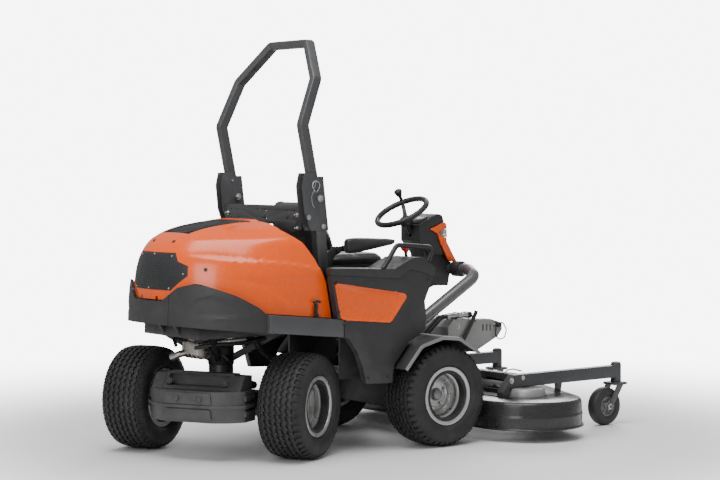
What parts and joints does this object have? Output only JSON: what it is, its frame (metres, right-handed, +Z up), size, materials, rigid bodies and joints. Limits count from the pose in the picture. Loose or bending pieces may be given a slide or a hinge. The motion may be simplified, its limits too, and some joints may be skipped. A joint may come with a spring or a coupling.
{
  "type": "ride-on mower",
  "caption": "Ride-on front mower with a steered rear axle, tilting engine hood, folding roll bar, steering wheel, and a floating multi-blade cutting deck on casters.",
  "frame": {"origin": "on the ground, below the middle of the machine's length and width", "axes": "+X forwards towards the cutting deck, +Y to the machine's left, +Z up"},
  "size_m": [2.7546, 1.6096, 2.016],
  "materials": {
    "orange": "gloss moulded plastic",
    "dark_trim": "fine grained matt plastic",
    "black_plastic": "matt plastic",
    "black_rubber": "matt rubber",
    "grey_paint": "satin powder coat",
    "black_paint": "satin powder coat",
    "pipe_paint": "satin metallic paint",
    "light_paint": "satin grey paint",
    "casting": "painted rough casting",
    "engine_metal": "die cast",
    "silver_paint": "silver paint",
    "bare_steel": "zinc plated",
    "fan_plastic": "moulded",
    "tyre": "turf tread",
    "caster_tyre": "solid rubber on a grey hub",
    "seat_cover": "grained vinyl",
    "lamp_lens": "clear lens",
    "red_knob": "moulded knob"
  },
  "bodies": {
    "chassis": {"main_frame": "black_paint", "side_beam_covers": "grey_paint", "rear_bumper": "dark_trim", "engine": "engine_metal", "radiator": "black_paint", "fuel_tank": "black_plastic", "battery": "black_plastic", "muffler": "bare_steel", "console_panels": "dark_trim", "console_inserts": "orange", "console_caps": "dark_trim", "front_fenders": "dark_trim", "foot_platform": "black_plastic", "front_hoop": "pipe_paint", "steering_tower": "dark_trim", "tower_fascia": "orange", "headlamps": "lamp_lens", "rops_posts": "grey_paint", "front_axle": "black_paint", "grab_rail": "black_plastic", "hydraulic_couplers": "bare_steel", "hydraulic_hoses": "black_rubber", "hood_latches": "black_rubber", "fasteners": "bare_steel", "front_bracket": "light_paint"},
    "hood": {"hood_shell": "orange", "hood_grilles": "dark_trim"},
    "rollover_hoop": {"rops_hoop": "grey_paint"},
    "seat": {"seat_frame": "black_paint", "seat_cushion": "seat_cover", "seat_backrest": "seat_cover"},
    "armrest_left": {"armrest_left": "seat_cover"},
    "armrest_right": {"armrest_right": "seat_cover"},
    "steering_wheel": {"steering_wheel": "black_plastic"},
    "lift_lever": {"lift_lever": "red_knob"},
    "throttle_lever": {"throttle_lever": "red_knob"},
    "drive_pedal": {"drive_pedal": "black_plastic"},
    "rear_bogie": {"rear_axle": "black_paint", "counterweight": "casting"},
    "front_left_wheel": {"tyre_front_left": "tyre", "rim_front_left": "silver_paint"},
    "front_right_wheel": {"tyre_front_right": "tyre", "rim_front_right": "silver_paint"},
    "rear_left_wheel": {"tyre_rear_left": "tyre", "rim_rear_left": "silver_paint"},
    "rear_right_wheel": {"tyre_rear_right": "tyre", "rim_rear_right": "silver_paint"},
    "cooling_fan": {"cooling_fan": "fan_plastic"},
    "lift_arms": {"lift_frame": "light_paint"},
    "deck": {"deck_shell": "grey_paint", "deck_frame": "grey_paint", "drive_belt": "black_rubber", "belt_covers": "light_paint"},
    "blade_left": {"blade_left": "bare_steel"},
    "blade_centre": {"blade_centre": "bare_steel"},
    "blade_right": {"blade_right": "bare_steel"},
    "caster_left": {"caster_fork_left": "grey_paint"},
    "caster_right": {"caster_fork_right": "grey_paint"},
    "caster_wheel_left": {"caster_wheel_left": "caster_tyre"},
    "caster_wheel_right": {"caster_wheel_right": "caster_tyre"}
  },
  "joints": [
    {"name": "front_left_wheel_spin", "type": "hinge", "parent": "chassis", "child": "front_left_wheel", "pos_m": [0.06432, 0.446, 0.254], "axis": [0, 1, 0], "continuous": true},
    {"name": "front_right_wheel_spin", "type": "hinge", "parent": "chassis", "child": "front_right_wheel", "pos_m": [0.06432, -0.446, 0.254], "axis": [0, 1, 0], "continuous": true},
    {"name": "rear_steer", "type": "hinge", "parent": "chassis", "child": "rear_bogie", "pos_m": [-0.92068, 0, 0.46], "axis": [0, 0, 1], "range_deg": [-72, 18]},
    {"name": "rear_left_wheel_spin", "type": "hinge", "parent": "rear_bogie", "child": "rear_left_wheel", "pos_m": [-1.11363, 0.37868, 0.254], "axis": [-0.454, 0.891, 0], "continuous": true},
    {"name": "rear_right_wheel_spin", "type": "hinge", "parent": "rear_bogie", "child": "rear_right_wheel", "pos_m": [-0.72773, -0.37868, 0.254], "axis": [-0.454, 0.891, 0], "continuous": true},
    {"name": "steering_wheel_turn", "type": "hinge", "parent": "chassis", "child": "steering_wheel", "pos_m": [0.22232, 0, 1.155], "axis": [-0.4848, 0, 0.8746], "range_deg": [-216, 864]},
    {"name": "hood_open", "type": "hinge", "parent": "chassis", "child": "hood", "pos_m": [-1.30768, 0, 0.784], "axis": [0, -1, 0], "range_deg": [0, 50]},
    {"name": "rops_fold", "type": "hinge", "parent": "chassis", "child": "rollover_hoop", "pos_m": [-0.60368, 0, 1.24], "axis": [0, 1, 0], "range_deg": [-80, 0]},
    {"name": "seat_adjust", "type": "slide", "parent": "chassis", "child": "seat", "axis": [1, 0, 0], "range_m": [-0.06, 0.06]},
    {"name": "armrest_left_fold", "type": "hinge", "parent": "seat", "child": "armrest_left", "pos_m": [-0.40168, 0.262, 0.982], "axis": [0, -1, 0], "range_deg": [0, 85]},
    {"name": "armrest_right_fold", "type": "hinge", "parent": "seat", "child": "armrest_right", "pos_m": [-0.40168, -0.262, 0.982], "axis": [0, -1, 0], "range_deg": [0, 85]},
    {"name": "lift_lever_tilt", "type": "hinge", "parent": "chassis", "child": "lift_lever", "pos_m": [-0.03068, -0.376, 0.898], "axis": [0, 1, 0], "range_deg": [-14, 14]},
    {"name": "throttle_lever_tilt", "type": "hinge", "parent": "chassis", "child": "throttle_lever", "pos_m": [-0.03068, -0.332, 0.898], "axis": [0, 1, 0], "range_deg": [-14, 14]},
    {"name": "drive_pedal_tilt", "type": "hinge", "parent": "chassis", "child": "drive_pedal", "pos_m": [0.22432, -0.19, 0.442], "axis": [0, 1, 0], "range_deg": [-11, 11], "stiffness_Nm_per_rad": 6},
    {"name": "fan_spin", "type": "hinge", "parent": "chassis", "child": "cooling_fan", "pos_m": [-1.06568, 0, 0.76], "axis": [-1, 0, 0], "continuous": true},
    {"name": "deck_lift", "type": "hinge", "parent": "chassis", "child": "lift_arms", "pos_m": [0.27932, 0, 0.3], "axis": [0, -1, 0], "range_deg": [0, 14]},
    {"name": "deck_float", "type": "hinge", "parent": "lift_arms", "child": "deck", "pos_m": [0.50432, 0, 0.3], "axis": [0, -1, 0], "range_deg": [0, 7]},
    {"name": "blade_centre_spin", "type": "hinge", "parent": "deck", "child": "blade_centre", "pos_m": [0.86432, 0, 0.09], "axis": [0, 0, 1], "continuous": true},
    {"name": "blade_left_spin", "type": "hinge", "parent": "deck", "child": "blade_left", "pos_m": [0.63932, 0.508, 0.09], "axis": [0, 0, 1], "continuous": true},
    {"name": "blade_right_spin", "type": "hinge", "parent": "deck", "child": "blade_right", "pos_m": [0.63932, -0.508, 0.09], "axis": [0, 0, 1], "continuous": true},
    {"name": "caster_left_swivel", "type": "hinge", "parent": "deck", "child": "caster_left", "pos_m": [1.33732, 0.473, 0.29], "axis": [0, 0, 1], "continuous": true},
    {"name": "caster_left_spin", "type": "hinge", "parent": "caster_left", "child": "caster_wheel_left", "pos_m": [1.24732, 0.473, 0.1025], "axis": [0, 1, 0], "continuous": true},
    {"name": "caster_right_swivel", "type": "hinge", "parent": "deck", "child": "caster_right", "pos_m": [1.33732, -0.473, 0.29], "axis": [0, 0, 1], "continuous": true},
    {"name": "caster_right_spin", "type": "hinge", "parent": "caster_right", "child": "caster_wheel_right", "pos_m": [1.24732, -0.473, 0.1025], "axis": [0, 1, 0], "continuous": true}
  ],
  "couplings": [
    {"joint": "steering_wheel_turn", "follows": "rear_steer", "ratio": -12},
    {"joint": "blade_left_spin", "follows": "blade_centre_spin", "ratio": 1},
    {"joint": "blade_right_spin", "follows": "blade_centre_spin", "ratio": 1}
  ]
}
